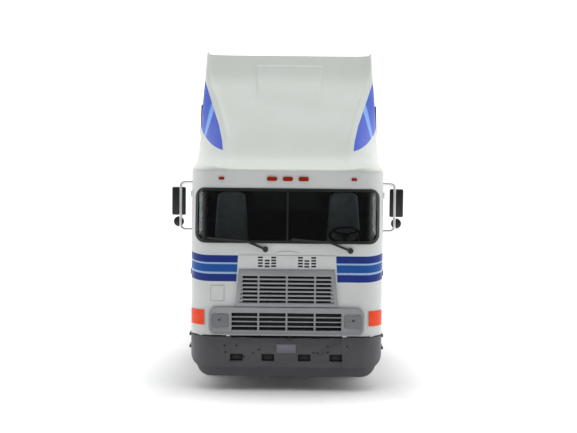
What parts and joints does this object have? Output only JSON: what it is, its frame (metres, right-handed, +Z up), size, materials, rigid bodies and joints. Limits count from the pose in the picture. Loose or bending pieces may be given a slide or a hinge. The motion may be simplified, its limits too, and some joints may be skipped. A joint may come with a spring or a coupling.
{
  "type": "scale model of a cab-over sleeper tractor unit",
  "caption": "Scale model of a high-roof cab-over tractor unit: hollow glazed cab, scooped roof fairing, ladder frame, fifth wheel and three rolling axles.",
  "frame": {"origin": "on the standing plane of the tyres, under the middle of the overall length and width", "axes": "+Z up, -Y towards the front of the vehicle, +X towards its left (driver's) side"},
  "size_m": [0.0676, 0.169, 0.1007],
  "materials": {
    "white_paint": "gloss white enamel with blue stripes",
    "fairing_paint": "gloss white moulded plastic with a blue panel",
    "bumper_grey": "satin grey moulded plastic",
    "black_trim": "satin black plastic",
    "silver_trim": "silver printed grille bars",
    "grille_dark": "matt black behind the bars",
    "screen_glass": "clear plastic glazing",
    "lamp_clear": "clear moulded lens",
    "lamp_orange": "orange lens",
    "lamp_red": "red lens",
    "chrome_trim": "vacuum plated plastic",
    "interior_dark": "dark grey interior moulding",
    "seat_grey": "dark grey seat moulding",
    "chassis_dark": "satin black chassis moulding",
    "rim_silver": "silver painted rim",
    "tyre_rubber": "soft black tyre",
    "rod_steel": "plain steel axle rod",
    "tank_silver": "silver painted tank",
    "flap_rubber": "black flap"
  },
  "bodies": {
    "chassis": {"cab_shell": "white_paint", "roof_fairing": "fairing_paint", "bumper": "bumper_grey", "air_dam": "bumper_grey", "bumper_brackets": "chassis_dark", "side_steps": "bumper_grey", "cab_floor": "interior_dark", "cab_mounts": "chassis_dark", "windscreen": "screen_glass", "windscreen_gasket": "black_trim", "side_windows": "screen_glass", "side_window_gaskets": "black_trim", "upper_grille": "silver_trim", "lower_grille": "silver_trim", "grille_backing": "grille_dark", "headlamps": "lamp_clear", "turn_signals": "lamp_orange", "marker_lamps": "lamp_orange", "wipers": "black_trim", "mirror_bracket_left": "chrome_trim", "mirror_bracket_right": "chrome_trim", "mirrors": "black_trim", "grab_handles": "chrome_trim", "dashboard": "interior_dark", "engine_cover": "interior_dark", "steering_wheel": "black_trim", "seats": "seat_grey", "bunk": "interior_dark", "frame_rail_left": "chassis_dark", "frame_rail_right": "chassis_dark", "cross_members": "chassis_dark", "engine_and_gearbox": "chassis_dark", "front_axle_beam": "chassis_dark", "front_springs": "chassis_dark", "drive_axle_housings": "chassis_dark", "prop_shafts": "chassis_dark", "walking_beams": "chassis_dark", "fuel_tanks": "tank_silver", "tank_hangers": "chassis_dark", "side_boxes": "chassis_dark", "deck_plate": "chassis_dark", "fifth_wheel_stand": "chassis_dark", "fifth_wheel": "chassis_dark", "exhaust": "chrome_trim", "rear_bar": "chassis_dark", "mud_flaps": "flap_rubber", "tail_lamps": "lamp_red"},
    "front_wheels": {"front_tyres": "tyre_rubber", "front_rims": "rim_silver", "front_axle_rod": "rod_steel"},
    "drive_wheels_1": {"drive_tyres_1": "tyre_rubber", "drive_rims_1": "rim_silver", "drive_axle_rod_1": "rod_steel"},
    "drive_wheels_2": {"drive_tyres_2": "tyre_rubber", "drive_rims_2": "rim_silver", "drive_axle_rod_2": "rod_steel"}
  },
  "joints": [
    {"name": "front_axle_spin", "type": "hinge", "parent": "chassis", "child": "front_wheels", "pos_m": [0, -0.0535, 0.012], "axis": [1, 0, 0], "continuous": true},
    {"name": "drive_axle_spin_1", "type": "hinge", "parent": "chassis", "child": "drive_wheels_1", "pos_m": [0, 0.0345, 0.012], "axis": [1, 0, 0], "continuous": true},
    {"name": "drive_axle_spin_2", "type": "hinge", "parent": "chassis", "child": "drive_wheels_2", "pos_m": [0, 0.0665, 0.012], "axis": [1, 0, 0], "continuous": true}
  ]
}
